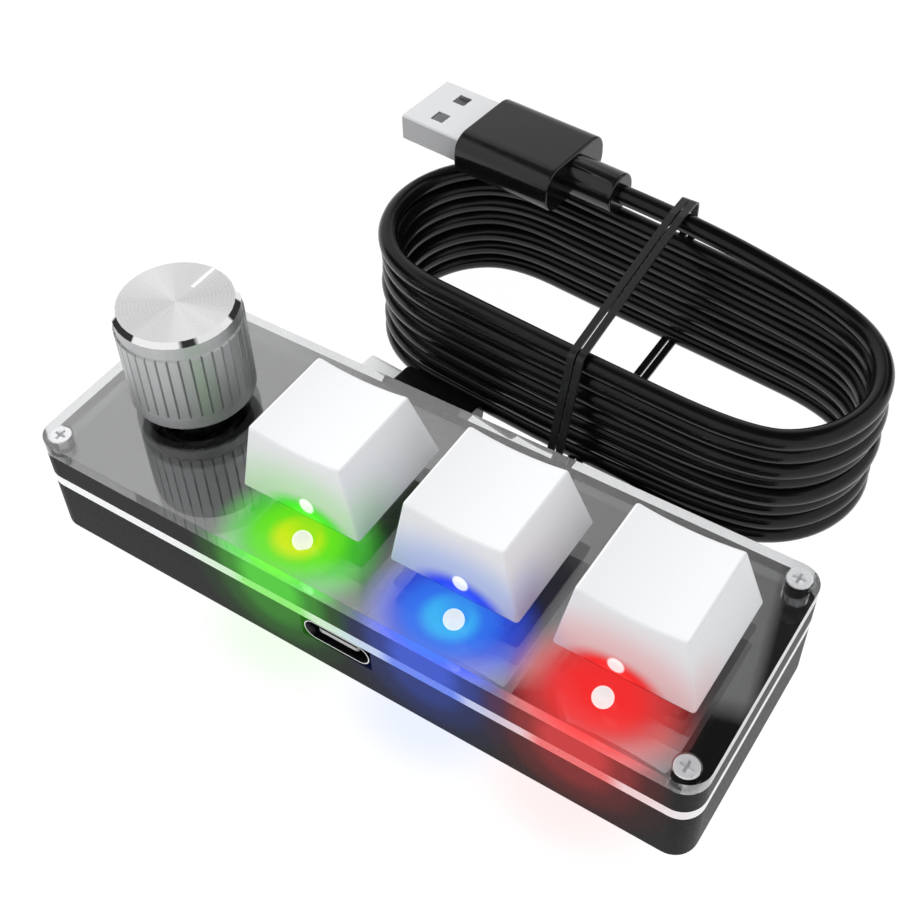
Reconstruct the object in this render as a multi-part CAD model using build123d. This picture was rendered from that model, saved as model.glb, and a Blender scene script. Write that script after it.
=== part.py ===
from build123d import *
import math
import os

# Macro keypad: three keys and a push knob in a layered case, with its wound USB cable.
# Millimetres. Origin on the desk under the middle of the case, +X along the case
# towards the last key, +Y to the back, +Z up.

# Case layers, from the desk up
case_length = 100.4
case_width = 35.3
case_corner = 3.2
foot_proud = 0.4
base_bottom = foot_proud
base_top = 9.6
plate_top = 11.3
deck_top = 15.3
cover_top = 17.5
wall = 2.0
base_floor = 1.6
deck_skin = 1.8
base_edge_round = 0.5

# Feet and screws
foot_diameter = 8.0
foot_recess = 0.6
foot_x = 42.0
foot_y = 10.5
screw_x = 47.35
screw_y = 15.2
screw_head_diameter = 3.1
screw_head_height = 1.9
screw_head_room = 0.15
screw_diameter = 2.0
screw_hole = 2.2
screw_tip_z = 4.0
boss_diameter = 4.8
slot_width = 0.45
slot_length = 1.7
slot_depth = 0.8

# Circuit board
board_bottom = 4.3
board_top = 5.9
board_gap = 0.6
board_notch_x = 7.0
board_notch_y = 6.0
standoff_x = 43.5
standoff_y = 6.0
standoff_diameter = 4.0
chip_size = 7.0
chip_height = 1.4
chip_x = -23.2
chip_legs = 6
chip_leg_pitch = 1.0
chip_leg = (1.0, 0.4, 0.3)

# USB-C port in the front wall
port_z = board_top + 1.63
port_shell = (8.94, 3.26)
port_mouth = (10.4, 3.7)
port_wall = 0.28
port_flare = 1.1
port_depth = 7.3
port_set_back = 0.1
port_notch_width = 11.2
port_notch_bottom = 5.5
tongue = (6.7, 0.7)
tongue_length = 6.6

# Keys: the steep face of each cap is on the port side
key_x = (-9.6, 13.4, 36.4)
key_y = -1.25
cap_skirt_z = 20.1
cap_top_z = 31.5
cap_base = 18.1
cap_top_x = 14.0
cap_top_y = 14.7
cap_lean = -1.33
cap_wall = 1.5
cap_roof = 2.4
cap_base_corner = 0.5
cap_top_corner = 0.85
cap_dish = 0.7
cap_edge_round = 0.4
post_diameter = 5.5
post_bottom = 20.6
cross_arm = 4.0
cross_thick = 1.2
cross_room = 0.1
cross_height = 3.6

# Key switches
switch_cutout = 14.0
switch_body = 13.9
flange_size = 15.6
flange_top = 12.2
switch_floor = 7.4
switch_wall = 1.0
housing_base = 14.4
housing_crown = 11.2
housing_top = 18.0
housing_roof = 1.0
housing_wall = 1.1
deck_window = 14.0
cover_window = 13.4
window_corner = 0.5
guide_post_diameter = 4.0
guide_post_tip = 2.6
guide_bore = 3.3
guide_bore_bottom = 3.4
slider = (6.9, 5.2)
slider_shoulder = (8.4, 5.0)
slider_bottom = 12.6
slider_room = 0.2
stem_pin_diameter = 3.0
stem_pin_tip = 6.6
spring_wire = 0.4
spring_mean = 4.4
spring_turns = 5
contact_places = ((-3.81, 4.4), (2.54, 4.4))
contact_leaf = (2.4, 0.3)
contact_leaf_top = 10.6
contact_pin = (0.9, 0.3)
contact_pin_tip = 2.8

# Lamps in front of the keys, under the clear cover
lamp_x = (-9.9, 13.5, 34.4)
lamp_y = -11.0
lamp_diameter = 3.0
lamp_rim = 3.8
lamp_rim_bottom = 9.9
lamp_rim_top = 10.9
lamp_tip = 15.1
lamp_hole = 3.2
lamp_cup = 6.4
lamp_rim_hole = 4.2
lamp_lead = 0.5
lamp_lead_pitch = 2.54
lamp_lead_tip = 3.9

# Rotary push encoder and its knob
knob_x = -36.4
knob_y = 0.5
knob_bottom = 19.55
knob_top = 34.9
knob_radius = 8.73
knob_collar_radius = 8.5
knob_chamfer = (1.0, 0.8)
groove_low = 21.7
groove_high = 32.7
groove_count = 36
groove_width = 0.45
groove_depth = 0.4
knob_bore_radius = 7.3
knob_bore_top = 33.0
insert_room = 0.02
insert_bottom = 22.5
insert_ring = 1.1
insert_hub_radius = 4.6
insert_web = 1.2
insert_webs = 3
insert_roof = 1.0
pointer_length = 4.2
pointer_width = 0.55
pointer_depth = 0.25
pointer_angle = 89.0
shaft_diameter = 6.0
shaft_flat = 1.5
shaft_flat_low = 21.0
shaft_top = 31.8
shaft_fit = 0.04
encoder_size = (11.7, 12.4)
encoder_top = 12.4
rotor_radius = 4.4
rotor_low = 8.2
rotor_high = 10.4
rotor_room = 0.3
rotor_chamber = (7.6, 11.0)
plunger_radius = 2.1
plunger_low = 7.1
plunger_high = 7.98
plunger_well_bottom = 6.5
shaft_end = 8.0
dome_sheet = 0.12
dome_rim_radius = 2.2
dome_rise = 0.55
bushing_diameter = 7.0
bushing_top = 20.4
bushing_hole = 7.4
washer_diameter = 11.0
washer_thick = 0.5
nut_across_flats = 10.0
nut_height = 2.0
encoder_cutout = (12.5, 13.2)
encoder_pin_places = ((-2.5, -7.0), (0.0, -7.0), (2.5, -7.0), (-2.5, 7.0), (2.5, 7.0))
encoder_pin = (0.9, 0.9)
encoder_pin_tip = 3.6

# Wound cable: stacked turns of a long loop, behind the case
cable_diameter = 2.6
hank_x = 5.45
hank_y = 47.15
hank_angle = -4.8
hank_run = 49.0
hank_radius = 15.0
turn_pitch = 3.05
turn_count = 7
first_turn_z = 2.1
climb_end = 13.0
start_bend_u = -1.5
end_bend_u = -6.0
cable_sides = 10

# USB-A plug, lying on top of the far runs
plug_a_v = 13.5
plug_a_z = 25.7
plug_a_stations = (-47.0, -35.4, -17.8, -9.5)
plug_a_shell = (12.0, 4.5)
plug_a_sheet = 0.4
plug_a_window = 2.3
plug_a_window_setback = 5.3
plug_a_window_pitch = 5.65
plug_a_grip = (15.6, 7.4, 3.2)
plug_a_relief = 6.4
plug_a_tongue = (11.0, 1.8)

# USB-C plug, lying on the desk in front of the near runs
plug_c_v = -22.2
plug_c_z = 2.4
plug_c_stations = (-33.2, -26.6, -12.5, -4.5)
plug_c_shell = (8.25, 2.4, 1.19)
plug_c_sheet = 0.3
plug_c_grip = (10.6, 4.6, 2.0)
plug_c_relief = 4.4
grip_edge_round = 0.4

# Flat tie strips round the wound cable
tie_x = 7.5
tie_width = 1.1
tie_gap = 0.25
tie_thick = 0.4
tie_clear = 0.3
tie_floor_z = 0.1
tie_corner = 1.0

STANDING = (Align.CENTER, Align.CENTER, Align.MIN)
CORNERS = [(sx, sy) for sx in (-1, 1) for sy in (-1, 1)]


def slab(length, width, corner, z_low, z_high, x=0, y=0):
    """Plate with rounded corners between two heights."""
    return Pos(x, y, z_low) * extrude(RectangleRounded(length, width, corner), z_high - z_low)


def block(length, width, z_low, z_high, x=0, y=0):
    """Square-edged block between two heights."""
    return Pos(x, y, z_low) * Box(length, width, z_high - z_low, align=STANDING)


def rod(diameter, z_low, z_high, x=0, y=0):
    """Upright round bar between two heights."""
    return Pos(x, y, z_low) * Cylinder(diameter / 2, z_high - z_low, align=STANDING)


def tower(base, crown, z_low, z_high, x, y, lean=0):
    """Tapered body between two rounded rectangles, each (length, width, corner)."""
    low = Pos(x, y, z_low) * RectangleRounded(*base)
    high = Pos(x, y + lean, z_high) * RectangleRounded(*crown)
    return loft([low, high])


def at_screws(part_at):
    """The same piece at the four screw places."""
    return [part_at(sx * screw_x, sy * screw_y) for sx, sy in CORNERS]


def base_case():
    tray = slab(case_length, case_width, case_corner, base_bottom, base_top)
    tray = fillet(tray.edges().group_by(Axis.Z)[0], base_edge_round)
    inside = (case_length - 2 * wall, case_width - 2 * wall, case_corner - wall)
    tray -= slab(*inside, base_bottom + base_floor, base_top + 1)
    floor_top = base_bottom + base_floor
    tray += at_screws(lambda x, y: rod(boss_diameter, floor_top, base_top, x, y))
    tray -= at_screws(lambda x, y: rod(screw_hole, screw_tip_z - 0.5, base_top + 1, x, y))
    for sx, sy in CORNERS:
        tray += rod(standoff_diameter, floor_top, board_bottom, sx * standoff_x, sy * standoff_y)
        foot_room = foot_diameter + 0.2
        tray -= rod(foot_room, base_bottom - 1, base_bottom + foot_recess, sx * foot_x, sy * foot_y)
    notch_y = -case_width / 2
    tray -= block(port_notch_width, 3 * wall, port_notch_bottom, base_top + 1, 0, notch_y)
    return tray


def rubber_feet():
    top = base_bottom + foot_recess
    return [rod(foot_diameter, 0, top, sx * foot_x, sy * foot_y) for sx, sy in CORNERS]


def switch_plate():
    plate = slab(case_length, case_width, case_corner, base_top, plate_top)
    plate -= at_screws(lambda x, y: rod(screw_hole, base_top - 1, plate_top + 1, x, y))
    for x in key_x:
        plate -= block(switch_cutout, switch_cutout, base_top - 1, plate_top + 1, x, key_y)
    for x in lamp_x:
        plate -= rod(lamp_rim_hole, base_top - 1, plate_top + 1, x, lamp_y)
    plate -= block(*encoder_cutout, base_top - 1, plate_top + 1, knob_x, knob_y)
    return plate


def deck_frame():
    skin_low = deck_top - deck_skin
    deck = slab(case_length, case_width, case_corner, plate_top, deck_top)
    inside = (case_length - 2 * wall, case_width - 2 * wall, case_corner - wall)
    deck -= slab(*inside, plate_top - 1, skin_low)
    deck += at_screws(lambda x, y: rod(boss_diameter, plate_top, skin_low, x, y))
    deck -= at_screws(lambda x, y: rod(screw_hole, plate_top - 1, deck_top + 1, x, y))
    for x in key_x:
        window = (deck_window, deck_window, window_corner)
        deck -= slab(*window, plate_top, deck_top + 1, x, key_y)
    for x in lamp_x:
        deck -= rod(lamp_hole, plate_top, deck_top + 1, x, lamp_y)
        cup_depth = (lamp_cup - lamp_hole) / 2
        cup = Cone(lamp_hole / 2, lamp_cup / 2, cup_depth, align=STANDING)
        deck -= Pos(x, lamp_y, deck_top - cup_depth) * cup
    deck -= rod(bushing_hole, plate_top, deck_top + 1, knob_x, knob_y)
    return deck


def clear_cover():
    cover = slab(case_length, case_width, case_corner, deck_top, cover_top)
    head_room = screw_head_diameter + 2 * screw_head_room
    seat = cover_top - screw_head_height
    cover -= at_screws(lambda x, y: rod(screw_hole, deck_top - 1, cover_top + 1, x, y))
    cover -= at_screws(lambda x, y: rod(head_room, seat, cover_top + 1, x, y))
    for x in key_x:
        window = (cover_window, cover_window, window_corner)
        cover -= slab(*window, deck_top - 1, cover_top + 1, x, key_y)
    cover -= rod(bushing_hole, deck_top - 1, cover_top + 1, knob_x, knob_y)
    return cover


def cover_screw(x, y):
    seat = cover_top - screw_head_height
    screw = rod(screw_head_diameter, seat, cover_top, x, y)
    screw += rod(screw_diameter, screw_tip_z, seat, x, y)
    slot_floor = cover_top - slot_depth
    screw -= block(slot_length, slot_width, slot_floor, cover_top + 1, x, y)
    screw -= block(slot_width, slot_length, slot_floor, cover_top + 1, x, y)
    return screw


def circuit_board():
    length = case_length - 2 * wall - 2 * board_gap
    width = case_width - 2 * wall - 2 * board_gap
    board = block(length, width, board_bottom, board_top)
    for sx, sy in CORNERS:
        place = (sx * length / 2, sy * width / 2)
        board -= block(2 * board_notch_x, 2 * board_notch_y, board_bottom - 1, board_top + 1, *place)
    holes = []
    for x in key_x:
        holes.append((guide_post_diameter + 0.2, x, key_y))
        holes += [(1.4, x + dx, key_y + dy) for dx, dy in contact_places]
    for x in lamp_x:
        holes += [(0.9, x + side * lamp_lead_pitch / 2, lamp_y) for side in (-1, 1)]
    holes += [(1.5, knob_x + dx, knob_y + dy) for dx, dy in encoder_pin_places]
    board -= [rod(size, board_bottom - 1, board_top + 1, x, y) for size, x, y in holes]
    return board


def controller_chip():
    body = block(chip_size, chip_size, board_top + 0.1, board_top + chip_height, chip_x, 0)
    body = chamfer(body.edges().group_by(Axis.Z)[-1], 0.2)
    reach, breadth, height = chip_leg
    for turn in range(4):
        for leg in range(chip_legs):
            along = (leg - (chip_legs - 1) / 2) * chip_leg_pitch
            foot = block(reach, breadth, 0, height, chip_size / 2 + reach / 2 - 0.2, along)
            body += Pos(chip_x, 0, board_top) * Rot(0, 0, 90 * turn) * foot
    return body


def port_plane(y):
    """Sketch plane across the port, looking out of the front wall."""
    return Plane((0, y, port_z), x_dir=(1, 0, 0), z_dir=(0, -1, 0))


def port_section(size, inset=0):
    length, height = size[0] - 2 * inset, size[1] - 2 * inset
    return RectangleRounded(length, height, height / 2 - 0.01)


def usb_port_shell():
    mouth_y = -case_width / 2 + port_set_back
    neck_y = mouth_y + port_flare
    back_y = mouth_y + port_depth
    barrel = extrude(port_plane(back_y) * port_section(port_shell), back_y - neck_y)
    outer_neck = port_plane(neck_y) * port_section(port_shell)
    outer_mouth = port_plane(mouth_y) * port_section(port_mouth)
    barrel += loft([outer_neck, outer_mouth])
    room_y = back_y - port_wall
    room = extrude(port_plane(room_y) * port_section(port_shell, port_wall), room_y - neck_y)
    inner_neck = port_plane(neck_y) * port_section(port_shell, port_wall)
    inner_mouth = port_plane(mouth_y) * port_section(port_mouth, port_wall)
    return barrel - room - loft([inner_neck, inner_mouth])


def usb_port_tongue():
    root_y = -case_width / 2 + port_set_back + port_depth - port_wall
    blade = extrude(port_plane(root_y) * Rectangle(*tongue), tongue_length)
    return fillet(blade.edges().filter_by(Axis.Z).group_by(Axis.Y)[0], tongue[1])


def keycap(x):
    top = (cap_top_x, cap_top_y, cap_top_corner)
    cap = tower((cap_base, cap_base, cap_base_corner), top, cap_skirt_z, cap_top_z, x, key_y, cap_lean)
    half = cap_top_x / 2
    dish_radius = (half**2 + cap_dish**2) / (2 * cap_dish)
    dish_axis = Pos(x, key_y, cap_top_z - cap_dish + dish_radius) * Rot(90, 0, 0)
    cap -= dish_axis * Cylinder(dish_radius, 2 * cap_base)
    rim = cap.edges().filter_by(lambda edge: edge.center().Z > cap_top_z - 2 * cap_dish)
    cap = fillet(rim, cap_edge_round)
    room_low = (cap_base - 2 * cap_wall, cap_base - 2 * cap_wall, cap_base_corner)
    room_high = (cap_top_x - 2 * cap_wall, cap_top_y - 2 * cap_wall, cap_base_corner)
    cap -= tower(room_low, room_high, cap_skirt_z, cap_top_z - cap_roof, x, key_y, cap_lean)
    cap += rod(post_diameter, post_bottom, cap_top_z - cap_roof + 0.5, x, key_y)
    socket_top = post_bottom + cross_height + 0.4
    arm, thick = cross_arm + cross_room, cross_thick + cross_room
    cap -= block(arm, thick, post_bottom - 1, socket_top, x, key_y)
    cap -= block(thick, arm, post_bottom - 1, socket_top, x, key_y)
    return cap


def switch_base(x):
    body = block(switch_body, switch_body, board_top, plate_top, x, key_y)
    body += slab(flange_size, flange_size, window_corner, plate_top, flange_top, x, key_y)
    room = switch_body - 2 * switch_wall
    body -= block(room, room, switch_floor, flange_top + 1, x, key_y)
    body += rod(guide_post_diameter, guide_post_tip, board_top, x, key_y)
    body -= rod(guide_bore, guide_bore_bottom, switch_floor + 1, x, key_y)
    for dx, dy in contact_places:
        pin_room = (contact_pin[0] + 0.2, contact_pin[1] + 0.2)
        body -= block(*pin_room, board_top - 1, switch_floor + 1, x + dx, key_y + dy)
    return body


def switch_top(x):
    base = (housing_base, housing_base, window_corner)
    crown = (housing_crown, housing_crown, 2 * window_corner)
    body = tower(base, crown, flange_top, housing_top, x, key_y)
    low, high = housing_base - 2 * housing_wall, housing_crown - 2 * housing_wall
    room = ((low, low, window_corner), (high, high, window_corner))
    body -= tower(*room, flange_top, housing_top - housing_roof, x, key_y)
    window = [size + 2 * slider_room for size in slider]
    return body - block(*window, flange_top, housing_top + 1, x, key_y)


def switch_stem(x):
    ceiling = housing_top - housing_roof
    stem = block(*slider_shoulder, slider_bottom, ceiling - 0.1, x, key_y)
    stem += block(*slider, slider_bottom, post_bottom, x, key_y)
    cross_top = post_bottom + cross_height
    stem += block(cross_arm, cross_thick, post_bottom, cross_top, x, key_y)
    stem += block(cross_thick, cross_arm, post_bottom, cross_top, x, key_y)
    return stem + rod(stem_pin_diameter, stem_pin_tip, slider_bottom, x, key_y)


def switch_spring(x):
    """Coil between the switch floor and the slider, in half turns of steady climb."""
    low = switch_floor + spring_wire / 2
    climb = slider_bottom - spring_wire - switch_floor
    radius = spring_mean / 2
    coil = Pos(x, key_y, low) * Helix(climb / spring_turns, climb, radius)
    section = Plane(coil @ 0, z_dir=coil % 0) * RegularPolygon(spring_wire / 2, 6)
    return sweep(section, path=coil, is_frenet=True)


def switch_contacts(x):
    leaves = []
    for dx, dy in contact_places:
        leaf = block(*contact_leaf, switch_floor, contact_leaf_top, x + dx, key_y + dy)
        leaves.append(leaf + block(*contact_pin, contact_pin_tip, switch_floor, x + dx, key_y + dy))
    return leaves


def lamp(x):
    dome_low = lamp_tip - lamp_diameter / 2
    body = rod(lamp_rim, lamp_rim_bottom, lamp_rim_top, x, lamp_y)
    body += rod(lamp_diameter, lamp_rim_bottom, dome_low, x, lamp_y)
    body += Pos(x, lamp_y, dome_low) * Sphere(lamp_diameter / 2)
    for side in (-1, 1):
        lead_x = x + side * lamp_lead_pitch / 2
        body += block(lamp_lead, lamp_lead, lamp_lead_tip, lamp_rim_bottom, lead_x, lamp_y)
    return body


def encoder_body():
    body = block(*encoder_size, board_top, encoder_top, knob_x, knob_y)
    body -= rod(2 * (rotor_radius + rotor_room), *rotor_chamber, knob_x, knob_y)
    body -= rod(shaft_diameter + 2 * rotor_room, rotor_chamber[1] - 0.1, encoder_top + 1, knob_x, knob_y)
    well = 2 * (plunger_radius + rotor_room)
    return body - rod(well, plunger_well_bottom, rotor_chamber[0] + 0.1, knob_x, knob_y)


def encoder_pins():
    pins = []
    for dx, dy in encoder_pin_places:
        x, y = knob_x + dx, knob_y + dy
        reach = abs(dy) - encoder_size[1] / 2 + encoder_pin[1] / 2
        shelf_y = y - math.copysign(reach - encoder_pin[1], dy) / 2
        pin = block(*encoder_pin, encoder_pin_tip, board_top + 1, x, y)
        pins.append(pin + block(encoder_pin[0], reach, board_top + 0.2, board_top + 1, x, shelf_y))
    return pins


def push_dome():
    """Snap dome under the plunger: a thin spherical sheet."""
    sphere_radius = (dome_rim_radius**2 + dome_rise**2) / (2 * dome_rise)
    middle_z = plunger_well_bottom + dome_rise - sphere_radius
    shell = Sphere(sphere_radius) - Sphere(sphere_radius - dome_sheet)
    cap = Pos(knob_x, knob_y, middle_z) * shell
    return cap & rod(2 * dome_rim_radius, plunger_well_bottom, rotor_chamber[0], knob_x, knob_y)


def encoder_bushing():
    sleeve = rod(bushing_diameter, encoder_top, bushing_top, knob_x, knob_y)
    bore = shaft_diameter + 2 * shaft_fit
    return sleeve - rod(bore, encoder_top - 1, bushing_top + 1, knob_x, knob_y)


def encoder_washer():
    top = cover_top + washer_thick
    disc = rod(washer_diameter, cover_top, top, knob_x, knob_y)
    return disc - rod(bushing_diameter + 0.2, cover_top - 1, top + 1, knob_x, knob_y)


def encoder_nut():
    low = cover_top + washer_thick
    hexagon = RegularPolygon(nut_across_flats / 2, 6, major_radius=False)
    nut = Pos(knob_x, knob_y, low) * extrude(hexagon, nut_height)
    return nut - rod(bushing_diameter + 0.1, low - 1, low + nut_height + 1, knob_x, knob_y)


def encoder_plunger():
    return rod(2 * plunger_radius, plunger_low, plunger_high, knob_x, knob_y)


def flat_cutter(z_low, z_high, room=0):
    """What the flat of the shaft leaves out, on its +Y side."""
    flat_y = shaft_diameter / 2 - shaft_flat + room
    middle_y = knob_y + flat_y + shaft_diameter / 2
    return block(2 * shaft_diameter, shaft_diameter, z_low, z_high, knob_x, middle_y)


def encoder_shaft():
    shaft = rod(shaft_diameter, shaft_end, shaft_top, knob_x, knob_y)
    shaft += rod(2 * rotor_radius, rotor_low, rotor_high, knob_x, knob_y)
    shaft -= rod(shaft_diameter + 1, shaft_end - 1, rotor_low, knob_x, knob_y)
    shaft += rod(2 * plunger_radius - 1, shaft_end, rotor_low, knob_x, knob_y)
    return shaft - flat_cutter(shaft_flat_low, shaft_top + 1)


def knob_body():
    inset, drop = knob_chamfer
    profile = Polyline(
        (0, knob_bottom),
        (knob_radius, knob_bottom),
        (knob_radius, groove_high),
        (knob_collar_radius, groove_high),
        (knob_collar_radius, knob_top - drop),
        (knob_collar_radius - inset, knob_top),
        (0, knob_top),
        close=True,
    )
    turned = Pos(knob_x, knob_y, 0) * revolve(Plane.XZ * make_face(profile), Axis.Z)
    turned -= rod(2 * knob_bore_radius, knob_bottom - 1, knob_bore_top, knob_x, knob_y)
    groove = block(2 * groove_depth, groove_width, groove_low, groove_high + 1, knob_radius, 0)
    spokes = [Rot(0, 0, 360 * n / groove_count) * groove for n in range(groove_count)]
    turned -= [Pos(knob_x, knob_y, 0) * spoke for spoke in spokes]
    return turned - pointer_bar(pointer_depth)


def pointer_bar(depth):
    """Bar of the pointer line, from half radius to the rim of the top face."""
    reach = knob_collar_radius - knob_chamfer[0]
    bar = block(pointer_length, pointer_width, knob_top - depth, knob_top, reach - pointer_length / 2 - 0.1)
    return Pos(knob_x, knob_y, 0) * Rot(0, 0, pointer_angle) * bar


def knob_insert():
    radius = knob_bore_radius - insert_room
    ring = rod(2 * radius, insert_bottom, knob_bore_top, knob_x, knob_y)
    web_top = knob_bore_top - insert_roof
    ring -= rod(2 * (radius - insert_ring), insert_bottom - 1, web_top, knob_x, knob_y)
    for n in range(insert_webs):
        web = block(radius - 0.5, insert_web, insert_bottom + 1, web_top, radius / 2)
        ring += Pos(knob_x, knob_y, 0) * Rot(0, 0, 360 * n / insert_webs) * web
    ring += rod(2 * insert_hub_radius, insert_bottom, web_top, knob_x, knob_y)
    bore = rod(shaft_diameter + 2 * insert_room, insert_bottom - 1, web_top, knob_x, knob_y)
    return ring - (bore - flat_cutter(insert_bottom - 2, web_top + 1, insert_room))


HANK = Pos(hank_x, hank_y, 0) * Rot(0, 0, hank_angle)


def level(turn):
    """Height of the cable's middle on a turn, counted from 1."""
    return first_turn_z + (turn - 1) * turn_pitch


def s_bend(start, end, heading):
    """Two equal arcs from start to end, leaving and arriving along the same heading."""
    middle = (Vector(*start) + Vector(*end)) / 2
    leaving = TangentArc(Vector(*start), middle, tangent=heading)
    return [leaving, TangentArc(middle, Vector(*end), tangent=leaving % 1)]


def half_turn(start, end, bulge):
    """Level half circle between the runs, with its middle bulge away along the hank."""
    middle = (start[0] + bulge, (start[1] + end[1]) / 2, start[2])
    return ThreePointArc(start, middle, end)


def cable_path():
    """Centre line from the small plug to the large one, in the hank's own axes."""
    half = hank_run / 2
    near, far = -hank_radius, hank_radius
    floor_z = level(1)
    bend_from = (start_bend_u, plug_c_v, plug_c_z)
    path = [Line((plug_c_stations[3], plug_c_v, plug_c_z), bend_from)]
    path += s_bend(bend_from, (half, near, floor_z), (1, 0, 0))
    path.append(half_turn((half, near, floor_z), (half, far, floor_z), hank_radius))
    for turn in range(1, turn_count + 1):
        low, high = level(turn), level(turn + 1)
        path.append(Line((half, far, low), (-half, far, low)))
        path.append(half_turn((-half, far, low), (-half, near, low), -hank_radius))
        path += s_bend((-half, near, low), (climb_end, near, high), (1, 0, 0))
        path.append(Line((climb_end, near, high), (half, near, high)))
        path.append(half_turn((half, near, high), (half, far, high), hank_radius))
    last = (half, far, level(turn_count + 1))
    arrival = (end_bend_u, plug_a_v, plug_a_z)
    path += s_bend(last, arrival, (-1, 0, 0))
    path.append(Line(arrival, (plug_a_stations[3], plug_a_v, plug_a_z)))
    return path


def least_gap(path, step=1.2):
    """Smallest clear distance between stretches of the cable that aren't neighbours."""
    points = []
    walked = 0.0
    for edge in path:
        count = max(2, int(edge.length / step))
        points += [(walked + edge.length * n / count, edge @ (n / count)) for n in range(count)]
        walked += edge.length
    places = [(s, (p.X, p.Y, p.Z)) for s, p in points]
    apart = 4 * cable_diameter
    closest = math.inf
    for n, (s, p) in enumerate(places):
        closest = min([closest] + [math.dist(p, q) for t, q in places[n + 1:] if t - s > apart])
    return closest - cable_diameter


def cable_hank():
    edges = cable_path()
    wire = Wire(edges)
    section = Plane(edges[0] @ 0, z_dir=edges[0] % 0) * RegularPolygon(cable_diameter / 2, cable_sides)
    tube = sweep(section, path=wire, clean=False)
    length = sum(edge.length for edge in edges)
    expected = length * section.area
    print(f"cable length {length:.1f} mm, volume {tube.volume / expected:.4f} of section times length")
    print(f"cable least gap to itself {least_gap(edges):.3f} mm")
    return HANK * tube


def along(section, u_low, u_high, v, z):
    """Section drawn across the hank's long axis and drawn out along it."""
    across = Plane((u_low, v, z), x_dir=(0, 1, 0), z_dir=(1, 0, 0))
    return extrude(across * section, u_high - u_low)


def end_edges(part, u):
    """Edges of a drawn-out piece at one of its ends."""
    return part.edges().filter_by(lambda e: abs(e.center().X - u) < 0.01)


def grip(section, u_low, u_high, v, z):
    body = along(section, u_low, u_high, v, z)
    return HANK * fillet(end_edges(body, u_low) + end_edges(body, u_high), grip_edge_round)


def relief(diameter, u_low, u_high, v, z):
    body = along(Circle(diameter / 2), u_low, u_high, v, z)
    return HANK * fillet(end_edges(body, u_high), grip_edge_round)


def usb_a_shell():
    tip, root = plug_a_stations[:2]
    width, height = plug_a_shell
    tube = along(RectangleRounded(width, height, plug_a_sheet), tip, root, plug_a_v, plug_a_z)
    inside = Rectangle(width - 2 * plug_a_sheet, height - 2 * plug_a_sheet)
    tube -= along(inside, tip - 1, root, plug_a_v, plug_a_z)
    for side in (-1, 1):
        place = (tip + plug_a_window_setback, plug_a_v + side * plug_a_window_pitch / 2)
        low = plug_a_z - height
        tube -= block(plug_a_window, plug_a_window, low, low + 2 * height, *place)
    return HANK * tube


def usb_a_tongue():
    tip, root = plug_a_stations[:2]
    floor = plug_a_z - plug_a_shell[1] / 2 + plug_a_sheet
    middle = floor + plug_a_tongue[1] / 2
    return HANK * along(Rectangle(*plug_a_tongue), tip + 0.5, root, plug_a_v, middle)


def usb_c_shell():
    tip, root = plug_c_stations[:2]
    width, height, corner = plug_c_shell
    tube = along(RectangleRounded(width, height, corner), tip, root, plug_c_v, plug_c_z)
    cut = 2 * plug_c_sheet
    inside = RectangleRounded(width - cut, height - cut, corner - plug_c_sheet)
    return HANK * (tube - along(inside, tip - 1, root - 1, plug_c_v, plug_c_z))


def run_y(v):
    """Y of a line along the hank, v from its middle, where the tie crosses it."""
    turn = math.radians(hank_angle)
    u = (tie_x - hank_x + v * math.sin(turn)) / math.cos(turn)
    return hank_y + u * math.sin(turn) + v * math.cos(turn)


def cable_tie():
    """Two flat strips, each a closed band round both walls of the hank."""
    reach = cable_diameter / 2 + tie_clear
    near_top = level(turn_count + 1) + reach
    far_top = plug_a_z + reach
    outline = Polyline(
        (run_y(plug_c_v) - reach, tie_floor_z + tie_thick),
        (run_y(-hank_radius) - reach, near_top),
        (run_y(plug_a_v) - reach, far_top),
        (run_y(hank_radius) + reach, far_top),
        (run_y(hank_radius) + reach, tie_floor_z + tie_thick),
        close=True,
    )
    loop = make_face(outline)
    loop = fillet(loop.vertices(), tie_corner)
    band = offset(loop, tie_thick) - loop
    strips = []
    for side in (-1, 1):
        strip_x = tie_x + side * (tie_width + tie_gap) / 2 - tie_width / 2
        across = Plane((strip_x, 0, 0), x_dir=(0, 1, 0), z_dir=(1, 0, 0))
        strips.append(extrude(across * band, tie_width))
    return strips


nodes = {
    "base_case": base_case(),
    "rubber_feet": rubber_feet(),
    "switch_plate": switch_plate(),
    "deck_frame": deck_frame(),
    "clear_cover": clear_cover(),
    "cover_screws": at_screws(cover_screw),
    "circuit_board": circuit_board(),
    "controller_chip": controller_chip(),
    "usb_port_shell": usb_port_shell(),
    "usb_port_tongue": usb_port_tongue(),
    "encoder_body": encoder_body(),
    "encoder_pins": encoder_pins(),
    "encoder_push_dome": push_dome(),
    "encoder_bushing": encoder_bushing(),
    "encoder_washer": encoder_washer(),
    "encoder_nut": encoder_nut(),
    "encoder_plunger": encoder_plunger(),
    "encoder_shaft": encoder_shaft(),
    "knob_body": knob_body(),
    "knob_insert": knob_insert(),
    "knob_pointer": pointer_bar(pointer_depth),
    "cable_hank": cable_hank(),
    "cable_tie": cable_tie(),
    "usb_a_shell": usb_a_shell(),
    "usb_a_tongue": usb_a_tongue(),
    "usb_a_grip": grip(RectangleRounded(*plug_a_grip), *plug_a_stations[1:3], plug_a_v, plug_a_z),
    "usb_a_relief": relief(plug_a_relief, *plug_a_stations[2:], plug_a_v, plug_a_z),
    "usb_c_shell": usb_c_shell(),
    "usb_c_grip": grip(RectangleRounded(*plug_c_grip), *plug_c_stations[1:3], plug_c_v, plug_c_z),
    "usb_c_relief": relief(plug_c_relief, *plug_c_stations[2:], plug_c_v, plug_c_z),
}
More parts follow.
